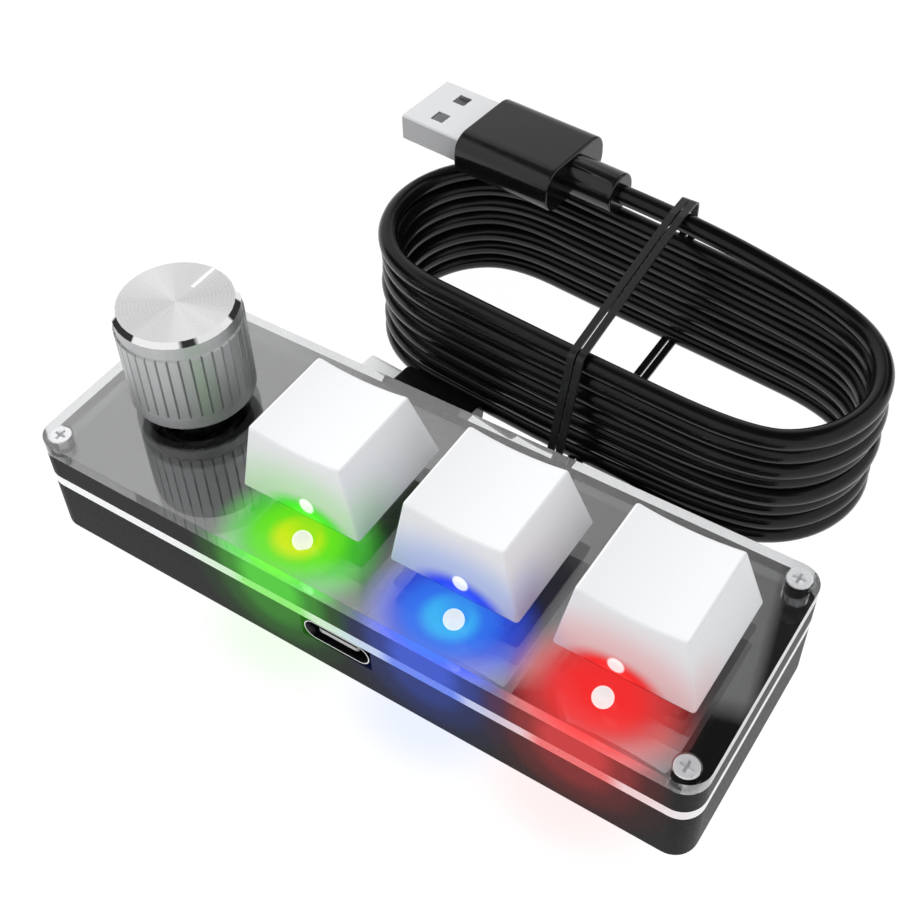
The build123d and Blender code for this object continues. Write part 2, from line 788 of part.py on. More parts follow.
for number, x in enumerate(key_x, start=1):
    nodes[f"keycap_{number}"] = keycap(x)
    nodes[f"switch_stem_{number}"] = switch_stem(x)
    nodes[f"switch_spring_{number}"] = switch_spring(x)
    nodes[f"switch_base_{number}"] = switch_base(x)
    nodes[f"switch_top_{number}"] = switch_top(x)
    nodes[f"switch_contacts_{number}"] = switch_contacts(x)
for number, x in enumerate(lamp_x, start=1):
    nodes[f"lamp_{number}"] = lamp(x)

os.makedirs("parts", exist_ok=True)
for name, shape in nodes.items():
    solid = Compound(children=shape) if isinstance(shape, list) else shape
    export_step(solid, f"parts/{name}.step")
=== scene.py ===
import bmesh
import bpy
import math
from mathutils import Matrix, Vector


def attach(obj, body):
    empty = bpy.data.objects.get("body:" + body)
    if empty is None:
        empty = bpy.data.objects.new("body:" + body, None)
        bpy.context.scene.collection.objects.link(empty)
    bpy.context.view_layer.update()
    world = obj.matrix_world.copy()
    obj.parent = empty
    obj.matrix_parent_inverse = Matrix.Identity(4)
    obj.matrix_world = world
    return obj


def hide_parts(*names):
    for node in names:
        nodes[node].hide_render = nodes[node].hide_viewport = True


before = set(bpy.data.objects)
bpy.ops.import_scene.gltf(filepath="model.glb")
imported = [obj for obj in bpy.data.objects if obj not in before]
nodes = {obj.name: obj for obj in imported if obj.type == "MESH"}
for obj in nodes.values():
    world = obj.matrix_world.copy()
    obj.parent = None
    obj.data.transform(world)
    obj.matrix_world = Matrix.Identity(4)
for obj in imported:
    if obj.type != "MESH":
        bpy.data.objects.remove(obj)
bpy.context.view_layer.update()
scene = bpy.context.scene
scene.view_settings.view_transform = "Standard"
MM = 0.001
WELD = 0.002 * MM

# Sizes of the keypad, in millimetres. The case is length, width and corner radius
CASE = (100.4, 35.3, 3.2)
FRONT = -CASE[1] / 2
WALL = 2.0
BASE_LOW, BASE_TOP, PLATE_TOP, DECK_TOP, COVER_TOP = 0.4, 9.6, 11.3, 15.3, 17.5
KEYS = (-9.6, 13.4, 36.4)
KEY_Y = -1.25
LAMPS = (-9.9, 13.5, 34.4)
LAMP_Y = -10.5
KNOB = (-36.4, 0.5)
KNOB_TOP = 34.87
SCREW_PLACES = [(sx * 47.35, sy * 15.2) for sx in (-1, 1) for sy in (-1, 1)]
SCREW_SEAT = 15.6
KNOB_HOLE, SCREW_HOLE = 3.7, 1.1

# The wound cable: its middle, its turn on the desk and the middles of its two round ends
CABLE_RADIUS = 1.5
HANK_MIDDLE = (5.45, 47.15)
HANK_TURN = math.radians(-4.8)
HANK_END = 24.5
TURNS = 7
CABLE_START = (-4.5, -22.2, 2.4)

# The camera's place in metres, its lens and its angles, solved from corners in the photo
CAMERA_PLACE = (0.070433, -0.092294, 0.155162)
CAMERA_LENS = 55.596
YAW, PITCH, ROLL = 0.605, -0.834, -0.037


# Camera

camera = bpy.data.objects.new("camera", bpy.data.cameras.new("camera"))
scene.collection.objects.link(camera)
camera.data.sensor_width = 36
camera.data.lens = CAMERA_LENS
camera.data.clip_start = 0.01
aim = Matrix.Rotation(YAW, 4, "Z") @ Matrix.Rotation(math.pi / 2 + PITCH, 4, "X")
camera.matrix_world = Matrix.Translation(CAMERA_PLACE) @ aim @ Matrix.Rotation(ROLL, 4, "Z")
scene.camera = camera


# Cable

def hank_point(u, v, z):
    """Point given along and across the wound cable, as a place in the frame."""
    c, s = math.cos(HANK_TURN), math.sin(HANK_TURN)
    x = HANK_MIDDLE[0] + u * c - v * s
    y = HANK_MIDDLE[1] + u * s + v * c
    return Vector((x, y, z)) * MM


def half_turn(middle, start, swing, height):
    """Five control points round one end of the wound cable, from a start angle in degrees."""
    angles = [math.radians(start + 36 * step) for step in range(5)]
    return [(middle + swing * math.cos(a), swing * math.sin(a), height) for a in angles]


def cable_route():
    """Control points from the small plug, round the stacked turns, to the large plug.

    The turns lie closer together at the right end, and each is a little looser or tighter
    than the one below.
    """
    pitch, far_side, near_side, first = 3.05, 15.0, 15.4, 2.1
    # The curve runs inside its control points, by this share at the ends
    end_radius = far_side / 0.9515

    def packed(height, share):
        return first + (height - first) * share

    def right_end(swing, height):
        return half_turn(HANK_END, -72, swing, height)

    route = [CABLE_START, (-1.0, -22.2, 2.4), (4.0, -21.6, 2.4), (10.5, -19.2, 2.2), (17.0, -17.0, first)]
    route += right_end(end_radius, first)
    for turn in range(TURNS):
        low = first + pitch * turn
        slack = 0.22 * math.sin(2.3 * turn + 0.6)
        route += [(13.0, far_side + slack, packed(low, 0.95)), (-13.0, far_side - slack, low)]
        route += half_turn(-HANK_END, 108, end_radius + slack, low)
        route += [(-17.0, slack - near_side, low), (5.5, -near_side - slack, low + 0.2 * pitch)]
        route += right_end(end_radius - slack - 0.4 * (turn % 2), packed(low + pitch, 0.88))
    route += [(13.0, 14.8, 23.6), (3.0, 13.5, 25.5), (-4.0, 13.5, 25.7), (-9.5, 13.5, 25.7)]
    return [hank_point(*point) for point in route]


def lay_cable():
    """One smooth tube along the route."""
    curve = bpy.data.curves.new("cable", "CURVE")
    curve.dimensions = "3D"
    curve.bevel_depth = 1
    curve.bevel_resolution = 6
    curve.resolution_u = 8
    curve.use_fill_caps = True
    route = cable_route()
    spline = curve.splines.new("NURBS")
    spline.points.add(len(route) - 1)
    for point, place in zip(spline.points, route):
        point.co = (*place, 1)
        point.radius = CABLE_RADIUS * MM
    spline.order_u = 3
    spline.use_endpoint_u = True
    spline.use_smooth = True
    piece = bpy.data.objects.new("cable", curve)
    scene.collection.objects.link(piece)
    return piece


cable = lay_cable()
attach(cable, "case")
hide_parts("cable_hank")


# Materials

def finish_named(name):
    """New material with its node tree and its shader."""
    material = bpy.data.materials.new(name)
    material.use_nodes = True
    return material, material.node_tree, material.node_tree.nodes["Principled BSDF"]


def object_place(tree):
    return tree.nodes.new("ShaderNodeTexCoord").outputs["Object"]


def speckle(tree, scale, detail=3.0, stretch=None):
    """Noise in the piece's own axes, stretched along one of them where asked."""
    noise = tree.nodes.new("ShaderNodeTexNoise")
    noise.inputs["Scale"].default_value = scale
    noise.inputs["Detail"].default_value = detail
    place = object_place(tree)
    if stretch:
        turn = tree.nodes.new("ShaderNodeMapping")
        turn.inputs["Scale"].default_value = stretch
        tree.links.new(place, turn.inputs["Vector"])
        place = turn.outputs["Vector"]
    tree.links.new(place, noise.inputs["Vector"])
    return noise.outputs["Fac"]


def between(tree, source, low, high, from_low=0.3, from_high=0.7):
    """Source spread over a new range. Noise mostly stays between the two default limits."""
    spread = tree.nodes.new("ShaderNodeMapRange")
    spread.inputs["From Min"].default_value = from_low
    spread.inputs["From Max"].default_value = from_high
    spread.inputs["To Min"].default_value = low
    spread.inputs["To Max"].default_value = high
    tree.links.new(source, spread.inputs["Value"])
    return spread.outputs["Result"]


def roughen(tree, shader, source, low, high):
    tree.links.new(between(tree, source, low, high), shader.inputs["Roughness"])


def emboss(tree, shader, source, depth, strength):
    bump = tree.nodes.new("ShaderNodeBump")
    bump.inputs["Distance"].default_value = depth
    bump.inputs["Strength"].default_value = strength
    tree.links.new(source, bump.inputs["Height"])
    tree.links.new(bump.outputs["Normal"], shader.inputs["Normal"])


def lamp_rings(tree, place, stretch, reach, stops):
    """Colour by distance from a lamp, in millimetres, stretched along the case where asked."""
    shift = tree.nodes.new("ShaderNodeMapping")
    shift.vector_type = "TEXTURE"
    shift.inputs["Location"].default_value = [v * MM for v in place]
    shift.inputs["Scale"].default_value = stretch
    tree.links.new(object_place(tree), shift.inputs["Vector"])
    away = tree.nodes.new("ShaderNodeVectorMath")
    away.operation = "LENGTH"
    tree.links.new(shift.outputs["Vector"], away.inputs[0])
    ramp = tree.nodes.new("ShaderNodeValToRGB")
    ramp.color_ramp.interpolation = "EASE"
    tree.links.new(between(tree, away.outputs["Value"], 0, 1, 0, reach * MM), ramp.inputs["Fac"])
    elements = ramp.color_ramp.elements
    while len(elements) < len(stops):
        elements.new(0.5)
    for element, (position, colour) in zip(elements, stops):
        element.position = position
        element.color = (*colour, 1)
    return ramp.outputs["Color"]


def blended(tree, colours, way):
    """All the colours added or multiplied together."""
    total = colours[0]
    for colour in colours[1:]:
        mix = tree.nodes.new("ShaderNodeMix")
        mix.data_type = "RGBA"
        mix.blend_type = way
        mix.inputs["Factor"].default_value = 1
        tree.links.new(total, mix.inputs["A"])
        tree.links.new(colour, mix.inputs["B"])
        total = mix.outputs["Result"]
    return total


# Painted light of the green, blue and red lamps, laid on surfaces as emission. A glow is a list of stops:
# share of its reach, colour

BLACK, WHITE = (0, 0, 0), (1, 1, 1)
GLOWS = (
    [
        (0, (0.95, 0.95, 0.01)), (0.15, (0.65, 0.85, 0.01)), (0.38, (0.14, 0.8, 0.015)),
        (0.66, (0.06, 0.6, 0.03)), (1, BLACK),
    ],
    [
        (0, (0.08, 0.66, 0.92)), (0.18, (0.05, 0.46, 0.92)), (0.38, (0.035, 0.17, 0.86)),
        (0.64, (0.03, 0.08, 0.74)), (1, BLACK),
    ],
    [(0, (0.95, 0.02, 0.02)), (0.3, (0.93, 0.03, 0.03)), (0.62, (0.7, 0.05, 0.05)), (1, BLACK)],
)
GLOW_REACH, GLOW_STRETCH = 11.2, (1.12, 1, 1)
GLOW_PLACES = [(x, LAMP_Y - 0.9, DECK_TOP) for x in LAMPS]


def dimmed(stops, share):
    return [(at, tuple(share * part for part in colour)) for at, colour in stops]


def soft_glow(colour):
    """Painted glow of one colour that fades out softly."""
    falloff = ((0, 1), (0.22, 1), (0.5, 0.4), (0.75, 0.1), (1, 0))
    return [(at, tuple(share * part for part in colour)) for at, share in falloff]


# Painted glow of each lamp on the case's front wall and on the caps' fronts
EDGE_GLOWS = [soft_glow(colour) for colour in ((0.1, 0.8, 0.04), (0.05, 0.12, 0.8), (0.8, 0.04, 0.04))]
# Deep and pale tint of each lamp's light, painted on white surfaces
LAMP_LIGHT_TINTS = (
    ((0.25, 0.95, 0.12), (0.72, 0.97, 0.66)),
    ((0.10, 0.22, 1.0), (0.62, 0.72, 1.0)),
    ((1.0, 0.12, 0.12), (1.0, 0.70, 0.70)),
)
# Painted bright spot of each lamp's light on each cap's front
PAINTED_SPOTS = ((-8.4, -10.1, 21.95), (14.5, -10.1, 22.1), (35.5, -10.1, 21.6))


def lamp_glow(tree, shader, strength, reach=GLOW_REACH, places=GLOW_PLACES, glows=GLOWS):
    """Painted light of the three lamps on a dark surface, as emission."""
    rings = [lamp_rings(tree, p, GLOW_STRETCH, reach, glow) for p, glow in zip(places, glows)]
    tree.links.new(blended(tree, rings, "ADD"), shader.inputs["Emission Color"])
    shader.inputs["Emission Strength"].default_value = strength


def painted_lamp_tint(tree, places, reach, base=WHITE, stretch=GLOW_STRETCH, depth=1):
    """Colour of a pale surface with each lamp's light painted in as a tint near it, deeper where asked."""
    rings = []
    for place, (core, pale) in zip(places, LAMP_LIGHT_TINTS):
        # The surface's own colour goes in once, with the first lamp
        own = base if place is places[0] else WHITE
        deep = tuple(part ** depth for part in core)
        stops = [(0, deep), (0.24, deep), (0.44, pale), (1, WHITE)]
        stops = [(at, tuple(a * b for a, b in zip(colour, own))) for at, colour in stops]
        rings.append(lamp_rings(tree, place, stretch, reach, stops))
    return blended(tree, rings, "MULTIPLY")


def satin_black(name, strength, reach, height):
    """Black moulded plastic with a fine satin grain and the lamps' light painted on as emission."""
    material, tree, shader = finish_named(name)
    shader.inputs["Base Color"].default_value = (0.006, 0.006, 0.0065, 1)
    shader.inputs["Specular IOR Level"].default_value = 0.08
    grain = speckle(tree, 2600, 4)
    roughen(tree, shader, grain, 0.36, 0.48)
    emboss(tree, shader, grain, 0.02 * MM, 0.25)
    fronts = [(x, FRONT, height) for x in LAMPS]
    lamp_glow(tree, shader, strength, reach, fronts, EDGE_GLOWS)
    return material


def deck_gloss():
    """Polished black under the clear cover: a mirror, less so near the lamps, whose light is painted on as
    emission.
    """
    material, tree, shader = finish_named("deck_gloss")
    shader.inputs["Base Color"].default_value = (0.010, 0.010, 0.011, 1)
    roughen(tree, shader, speckle(tree, 300, 2), 0.05, 0.09)
    shader.inputs["Specular IOR Level"].default_value = 0
    shader.inputs["Coat IOR"].default_value = 2.1
    shader.inputs["Coat Roughness"].default_value = 0.02
    dull_near_lamps(tree, shader)
    lamp_glow(tree, shader, 1.0)
    return material


def lit_cup():
    """Matt wall round each lamp, showing only the lamps' light, painted on as emission."""
    material, tree, shader = finish_named("lit_cup")
    shader.inputs["Base Color"].default_value = (0.005, 0.005, 0.005, 1)
    shader.inputs["Specular IOR Level"].default_value = 0
    roughen(tree, shader, speckle(tree, 900), 0.7, 0.9)
    lamp_glow(tree, shader, 1.0)
    return material


def dull_near_lamps(tree, shader):
    """Weakens the mirror beside the lamps, so that their painted light drowns the mirror image there."""
    dull = [(0, BLACK), (0.45, (0.08, 0.08, 0.08)), (0.85, WHITE)]
    rings = [lamp_rings(tree, place, GLOW_STRETCH, GLOW_REACH, dull) for place in GLOW_PLACES]
    tree.links.new(blended(tree, rings, "MULTIPLY"), shader.inputs["Coat Weight"])


def clear_acrylic(name, coat_ior, glow=0):
    """Clear sheet with a glossy top. Where asked, its edges carry some of the lamps' light, painted on as
    emission.
    """
    material, tree, shader = finish_named(name)
    shader.inputs["Base Color"].default_value = (0.97, 0.98, 0.99, 1)
    shader.inputs["Transmission Weight"].default_value = 1
    shader.inputs["IOR"].default_value = 1.1
    dull_near_lamps(tree, shader)
    shader.inputs["Coat IOR"].default_value = coat_ior
    shader.inputs["Coat Roughness"].default_value = 0.01
    roughen(tree, shader, speckle(tree, 60, 2), 0.004, 0.02)
    if glow:
        lamp_glow(tree, shader, glow, 13.0)
    return material


def white_sheet():
    """Bright edge of the switch plate, with each lamp's light painted in front of it as a tint and a faint
    glow.
    """
    material, tree, shader = finish_named("white_sheet")
    tint = painted_lamp_tint(tree, [(x, -17.6, 10.4) for x in LAMPS], 15.0)
    tree.links.new(tint, shader.inputs["Base Color"])
    tree.links.new(tint, shader.inputs["Emission Color"])
    shader.inputs["Emission Strength"].default_value = 0.08
    roughen(tree, shader, speckle(tree, 900), 0.25, 0.4)
    return material


def cap_white(number, spot):
    """White key plastic with a satin grain, the lamps' light painted in as a tint and a glow, and a painted
    bright spot low on its front.
    """
    material, tree, shader = finish_named(f"cap_white_{number}")
    grain = speckle(tree, 2200, 4)
    roughen(tree, shader, grain, 0.36, 0.5)
    emboss(tree, shader, grain, 0.015 * MM, 0.2)
    # Painted light: each lamp's colour tinted into the cap's white near its lower front
    fronts = [(x, -11.0, 18.4) for x, y, z in PAINTED_SPOTS]
    tint = painted_lamp_tint(tree, fronts, 12.5, base=(0.93, 0.93, 0.935), stretch=(1.45, 1, 1), depth=2)
    tree.links.new(tint, shader.inputs["Base Color"])
    # Painted glow of the lamp on the cap's lower front, and a painted bright spot
    glow = dimmed(EDGE_GLOWS[number - 1], 0.6)
    white = dimmed([(0, WHITE), (0.75, WHITE), (1, BLACK)], 0.75)
    rings = [
        lamp_rings(tree, (spot[0], LAMP_Y, 19.7), (1.9, 1, 1), 3.4, glow),
        lamp_rings(tree, spot, (1.35, 1, 1.45), 0.95, white),
    ]
    tree.links.new(blended(tree, rings, "ADD"), shader.inputs["Emission Color"])
    shader.inputs["Emission Strength"].default_value = 1
    return material


def turned_aluminium(name):
    """Satin aluminium with fine upright marks."""
    material, tree, shader = finish_named(name)
    shader.inputs["Base Color"].default_value = (0.56, 0.565, 0.57, 1)
    shader.inputs["Metallic"].default_value = 1
    scratch = speckle(tree, 1800, 3, (1, 1, 0.02))
    roughen(tree, shader, scratch, 0.46, 0.56)
    emboss(tree, shader, scratch, 0.01 * MM, 0.25)
    return material


def brushed_top():
    """Circular brushing round the knob's axis, with painted radial highlight streaks in its colour."""
    material, tree, shader = finish_named("brushed_top")
    shader.inputs["Metallic"].default_value = 1
    shader.inputs["Anisotropic"].default_value = 0.75
    tangent = tree.nodes.new("ShaderNodeTangent")
    tangent.direction_type = "RADIAL"
    tangent.axis = "Z"
    tree.links.new(tangent.outputs["Tangent"], shader.inputs["Tangent"])
    middle = tree.nodes.new("ShaderNodeMapping")
    middle.inputs["Location"].default_value = (-KNOB[0] * MM, -KNOB[1] * MM, 0)
    tree.links.new(object_place(tree), middle.inputs["Vector"])
    rings = tree.nodes.new("ShaderNodeTexWave")
    rings.wave_type = "RINGS"
    rings.rings_direction = "Z"
    rings.inputs["Scale"].default_value = 620
    rings.inputs["Distortion"].default_value = 0.6
    rings.inputs["Detail"].default_value = 1
    tree.links.new(middle.outputs["Vector"], rings.inputs["Vector"])
    tree.links.new(between(tree, rings.outputs["Fac"], 0.24, 0.3, 0, 1), shader.inputs["Roughness"])
    flat = tree.nodes.new("ShaderNodeVectorMath")
    flat.operation = "MULTIPLY"
    flat.inputs[1].default_value = (1, 1, 0)
    tree.links.new(middle.outputs["Vector"], flat.inputs[0])
    outward_way = tree.nodes.new("ShaderNodeVectorMath")
    outward_way.operation = "NORMALIZE"
    tree.links.new(flat.outputs["Vector"], outward_way.inputs[0])
    # Painted highlight: radial streaks in the colour, for the sheen of the circular brushing
    painted_streaks = tree.nodes.new("ShaderNodeTexNoise")
    painted_streaks.inputs["Scale"].default_value = 1.7
    painted_streaks.inputs["Detail"].default_value = 4
    tree.links.new(outward_way.outputs["Vector"], painted_streaks.inputs["Vector"])
    pair = tree.nodes.new("ShaderNodeMath")
    pair.operation = "MULTIPLY_ADD"
    pair.inputs[1].default_value = 0.2
    tree.links.new(rings.outputs["Fac"], pair.inputs[0])
    tree.links.new(painted_streaks.outputs["Fac"], pair.inputs[2])
    tree.links.new(between(tree, pair.outputs["Value"], 0.86, 1.0, 0.38, 0.82), shader.inputs["Base Color"])
    return material


def bright_metal(name, colour, rough, metallic=1.0):
    """Plated or polished metal. A low metallic share keeps it pale in a dark surround."""
    material, tree, shader = finish_named(name)
    shader.inputs["Base Color"].default_value = (*colour, 1)
    shader.inputs["Metallic"].default_value = metallic
    scratch = speckle(tree, 1500, 3, (1, 0.05, 1))
    roughen(tree, shader, scratch, *rough)
    emboss(tree, shader, scratch, 0.003 * MM, 0.1)
    return material


def plain_plastic(name, colour, rough, scale=1800, depth=0.01 * MM):
    """Moulded plastic or rubber with a fine grain."""
    material, tree, shader = finish_named(name)
    shader.inputs["Base Color"].default_value = (*colour, 1)
    grain = speckle(tree, scale)
    roughen(tree, shader, grain, *rough)
    emboss(tree, shader, grain, depth, 0.2)
    return material


def cable_jacket():
    """Glossy black jacket, a little uneven along its length."""
    material, tree, shader = finish_named("cable_jacket")
    shader.inputs["Base Color"].default_value = (0.004, 0.004, 0.0045, 1)
    shader.inputs["Specular IOR Level"].default_value = 0.3
    wave = speckle(tree, 140, 2)
    roughen(tree, shader, wave, 0.16, 0.24)
    emboss(tree, shader, wave, 0.12 * MM, 0.12)
    return material


def lamp_lens(name, colour, core):
    """Lens lit from inside, near white to the eye."""
    material, tree, shader = finish_named(name)
    shader.inputs["Base Color"].default_value = (*colour, 1)
    shader.inputs["Roughness"].default_value = 0.15
    heart = speckle(tree, 500, 1)
    tree.links.new(between(tree, heart, 0.84, 0.9), shader.inputs["Emission Strength"])
    shader.inputs["Emission Color"].default_value = (*core, 1)
    return material


# Modelling helpers

def adopt(name):
    """Names the piece just added and puts its place and size into its mesh."""
    piece = bpy.context.object
    piece.name = name
    piece.data.name = name
    bpy.ops.object.transform_apply(location=True, rotation=True, scale=True)
    return piece


def edit(piece):
    bpy.ops.object.select_all(action="DESELECT")
    bpy.context.view_layer.objects.active = piece
    piece.select_set(True)
    bpy.ops.object.mode_set(mode="EDIT")


def leave():
    bpy.ops.object.mode_set(mode="OBJECT")


def pick(piece, kind, test):
    """Selects what passes the test on its middle, in millimetres, and its direction."""
    bpy.ops.mesh.select_mode(type=kind)
    bpy.ops.mesh.select_all(action="DESELECT")
    mesh = bmesh.from_edit_mesh(piece.data)
    if kind == "FACE":
        found = [f for f in mesh.faces if test(f.calc_center_median() / MM, f.normal)]
    elif kind == "EDGE":
        ends = [(e, e.verts[0].co, e.verts[1].co) for e in mesh.edges]
        found = [e for e, a, b in ends if test((a + b) / 2 / MM, (b - a).normalized())]
    else:
        found = [v for v in mesh.verts if test(v.co / MM, v.normal)]
    for element in found:
        element.select_set(True)
    mesh.select_flush_mode()
    bmesh.update_edit_mesh(piece.data)


def move(x=0, y=0, z=0):
    bpy.ops.transform.translate(value=(x * MM, y * MM, z * MM))


def apply_modifier(piece, kind, **values):
    bpy.ops.object.select_all(action="DESELECT")
    bpy.context.view_layer.objects.active = piece
    piece.select_set(True)
    modifier = piece.modifiers.new(kind.lower(), kind)
    for key, value in values.items():
        setattr(modifier, key, value)
    bpy.ops.object.modifier_apply(modifier=modifier.name)


def round_edges(piece, width, segments, angle):
    """Rounds the edges that are sharper than an angle."""
    apply_modifier(
        piece, "BEVEL", width=width * MM, segments=segments, limit_method="ANGLE",
        angle_limit=math.radians(angle),
    )


def soften(piece, width, segments):
    """Rounds the piece's sharp edges and shades it smooth between them."""
    round_edges(piece, width, segments, 40)
    smooth(piece)


def smooth(piece, angle=35):
    """Smooth shading up to an angle, with flat faces kept flat beside small rounds."""
    bpy.ops.object.select_all(action="DESELECT")
    bpy.context.view_layer.objects.active = piece
    piece.select_set(True)
    bpy.ops.object.shade_smooth_by_angle(angle=math.radians(angle))
    apply_modifier(piece, "WEIGHTED_NORMAL", keep_sharp=True)


def smooth_copy(node, name):
    """A solid's own form as a piece, its facets joined and shaded as smooth surfaces."""
    piece = bpy.data.objects.new(name, nodes[node].data.copy())
    scene.collection.objects.link(piece)
    edit(piece)
    bpy.ops.mesh.select_all(action="SELECT")
    bpy.ops.mesh.remove_doubles(threshold=WELD)
    leave()
    smooth(piece, 30)
    return piece


def combine_forms(piece, other, way):
    apply_modifier(piece, "BOOLEAN", operation=way, solver="EXACT", object=other)
    bpy.data.objects.remove(other)


def cut(piece, cutter):
    combine_forms(piece, cutter, "DIFFERENCE")


def merge(piece, other):
    combine_forms(piece, other, "UNION")


def join(first, *others):
    bpy.ops.object.select_all(action="DESELECT")
    for piece in others:
        piece.select_set(True)
    first.select_set(True)
    bpy.context.view_layer.objects.active = first
    bpy.ops.object.join()
    return first


def outward(piece):
    """Turns every face's normal out of the piece."""
    edit(piece)
    bpy.ops.mesh.select_all(action="SELECT")
    bpy.ops.mesh.normals_make_consistent(inside=False)
    leave()


def rounded_slab(name, length, width, corner, low, high, x=0, y=0, segments=10):
    """Plate with rounded corners, standing between two heights."""
    bpy.ops.object.select_all(action="DESELECT")
    bpy.ops.mesh.primitive_plane_add(size=1, location=(x * MM, y * MM, low * MM))
    bpy.context.object.scale = (length * MM, width * MM, 1)
    piece = adopt(name)
    edit(piece)
    bpy.ops.mesh.select_all(action="SELECT")
    bpy.ops.mesh.bevel(offset=corner * MM, segments=segments, affect="VERTICES")
    bpy.ops.mesh.select_all(action="SELECT")
    bpy.ops.mesh.extrude_region_move(TRANSFORM_OT_translate={"value": (0, 0, (high - low) * MM)})
    leave()
    outward(piece)
    return piece


def disc(name, radius, low, high, x, y, sides):
    """Upright round bar between two heights."""
    bpy.ops.object.select_all(action="DESELECT")
    bpy.ops.mesh.primitive_cylinder_add(
        vertices=sides, radius=radius * MM, depth=(high - low) * MM,
        location=(x * MM, y * MM, (low + high) / 2 * MM),
    )
    return adopt(name)


def taper(piece, end, share_x, share_y, x, y):
    """Makes the piece's top (end 1) or its bottom (end -1) smaller, round a point."""
    edit(piece)
    pick(piece, "FACE", lambda p, n: end * n.z > 0.9)
    bpy.ops.transform.resize(value=(share_x, share_y, 1), center_override=(x * MM, y * MM, 0))
    leave()


def sink(piece, end, border, step):
    """Moves the top or bottom face, inside a border, up or down by a step."""
    edit(piece)
    pick(piece, "FACE", lambda p, n: end * n.z > 0.9)
    bpy.ops.mesh.inset(thickness=border * MM)
    bpy.ops.mesh.extrude_region_move(TRANSFORM_OT_translate={"value": (0, 0, step * MM)})
    leave()


def dress(piece, body, slot, *materials, replaces=()):
    """Gives the piece its finishes, its body and the solids that it stands for. Its slot is not used."""
    piece.data.materials.clear()
    for material in materials:
        piece.data.materials.append(material)
    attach(piece, body)
    if replaces:
        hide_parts(*replaces)
    return piece


# Case

# Heights of the cutters that go right through deck and cover
THROUGH = (10, 20)
CUP_RADIUS = 2.7


def hollow_case():
    """Base with its floor, its walls and the notch for the port."""
    base = rounded_slab("base_shell", *CASE, BASE_LOW, BASE_TOP)
    sink(base, 1, WALL, -7.6)
    cut(base, rounded_slab("notch", 10.9, 6.0, 0.4, 5.6, 10.0, 0, FRONT))
    edit(base)
    pick(base, "EDGE", lambda p, d: p.z < BASE_LOW + 0.01 and abs(d.z) < 0.1)
    bpy.ops.mesh.bevel(offset=0.5 * MM, segments=4, affect="EDGES")
    leave()
    soften(base, 0.12, 2)
    return base


def deck_shell():
    """Top frame over the switches: an open box with windows for the keys, lamps and knob."""
    deck = rounded_slab("deck_shell", *CASE, PLATE_TOP, DECK_TOP)
    sink(deck, -1, WALL, 2.2)
    for x in KEYS:
        cut(deck, key_window(x))
    for x in LAMPS:
        cut(deck, disc("window", 1.75, *THROUGH, x, LAMP_Y, 32))
        cut(deck, lamp_cup(x))
    cut(deck, disc("window", KNOB_HOLE, *THROUGH, *KNOB, 48))
    for place in SCREW_PLACES:
        cut(deck, disc("window", SCREW_HOLE, *THROUGH, *place, 24))
    soften(deck, 0.1, 2)
    return deck


def key_window(x):
    """Window that narrows upward, close round the switch."""
    window = rounded_slab("window", 14.0, 14.0, 0.5, 13.4, DECK_TOP + 0.1, x, KEY_Y, 4)
    taper(window, 1, 0.925, 0.925, x, KEY_Y)
    return window


def lamp_cup(x):
    """Cone that opens the deck round a lamp."""
    cup = disc("cup", CUP_RADIUS, DECK_TOP - 1.6, DECK_TOP + 0.1, x, LAMP_Y, 48)
    taper(cup, -1, 0.68, 0.68, x, LAMP_Y)
    return cup


def gloss_on_top(deck):
    """Second finish on the deck's top and third on the walls round each lamp."""
    for face in deck.data.polygons:
        place = face.center / MM
        inside = abs(place.x) < CASE[0] / 2 - 0.1 and abs(place.y) < -FRONT - 0.05
        face.material_index = 1 if inside and place.z > 13.6 and face.normal.z > 0.3 else 0
        near_lamp = min(math.dist(place.xy, (x, LAMP_Y)) for x in LAMPS) < CUP_RADIUS + 0.05
        if near_lamp and face.normal.z < 0.98:
            face.material_index = 2


def glow_on_edge(cover):
    """Second finish on the cover's front edge."""
    for face in cover.data.polygons:
        in_front = face.center.y < (FRONT + 0.15) * MM
        face.material_index = 1 if in_front and face.normal.y < -0.9 else 0


def clear_cover():
    """Acrylic sheet with windows for the keys and the knob and sunk holes for the screws."""
    cover = rounded_slab("cover_sheet", *CASE, DECK_TOP + 0.01, COVER_TOP, 0, 0, 16)
    for x in KEYS:
        cut(cover, rounded_slab("window", 12.95, 12.95, 0.5, *THROUGH, x, KEY_Y, 4))
    cut(cover, disc("window", KNOB_HOLE, *THROUGH, *KNOB, 48))
    for place in SCREW_PLACES:
        cut(cover, disc("window", 1.7, SCREW_SEAT, THROUGH[1], *place, 48))
        cut(cover, disc("window", SCREW_HOLE, *THROUGH, *place, 32))
    soften(cover, 0.08, 2)
    return cover


case_satin = satin_black("case_satin", strength=0.24, reach=12.5, height=BASE_TOP)
deck_satin = satin_black("deck_satin", strength=0.7, reach=12.0, height=(PLATE_TOP + DECK_TOP) / 2)
lit_wall = lit_cup()
acrylic = clear_acrylic("clear_acrylic", coat_ior=2.75)
acrylic_edge = clear_acrylic("acrylic_edge", coat_ior=1.2, glow=0.32)
dress(hollow_case(), "case", "case_black", case_satin, replaces=["base_case"])
deck = dress(
    deck_shell(), "case", "case_black", deck_satin, deck_gloss(), lit_wall, replaces=["deck_frame"],
)
gloss_on_top(deck)
cover = dress(clear_cover(), "case", "cover_clear", acrylic, acrylic_edge, replaces=["clear_cover"])
glow_on_edge(cover)


# Screws

